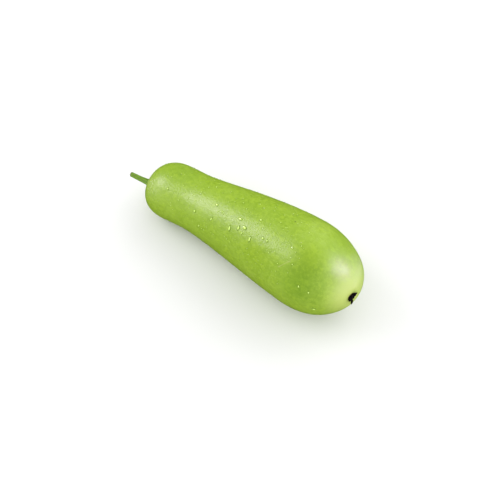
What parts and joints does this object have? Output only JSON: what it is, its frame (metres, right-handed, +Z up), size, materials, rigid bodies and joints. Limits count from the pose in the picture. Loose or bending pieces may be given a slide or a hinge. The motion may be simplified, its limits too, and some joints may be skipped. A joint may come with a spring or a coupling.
{
  "type": "bottle gourd",
  "caption": "Pale green bottle gourd lying on its side, slim neck and full round end, with its cut stem and dried flower.",
  "frame": {"origin": "on the ground, under the middle of the bounding box", "axes": "+X from the stem to the dried flower, +Z up; the side seen in the picture faces -Y"},
  "size_m": [0.2894, 0.094, 0.0936],
  "materials": {
    "fruit_skin": "smooth waxy green skin, soft gloss",
    "stem_skin": "green ridged stalk, matt, finely downy",
    "withered_petal": "black-brown, dry and crumpled, matt"
  },
  "bodies": {
    "root": {"fruit": "fruit_skin", "stem": "stem_skin", "dried_blossom": "withered_petal"}
  },
  "joints": []
}
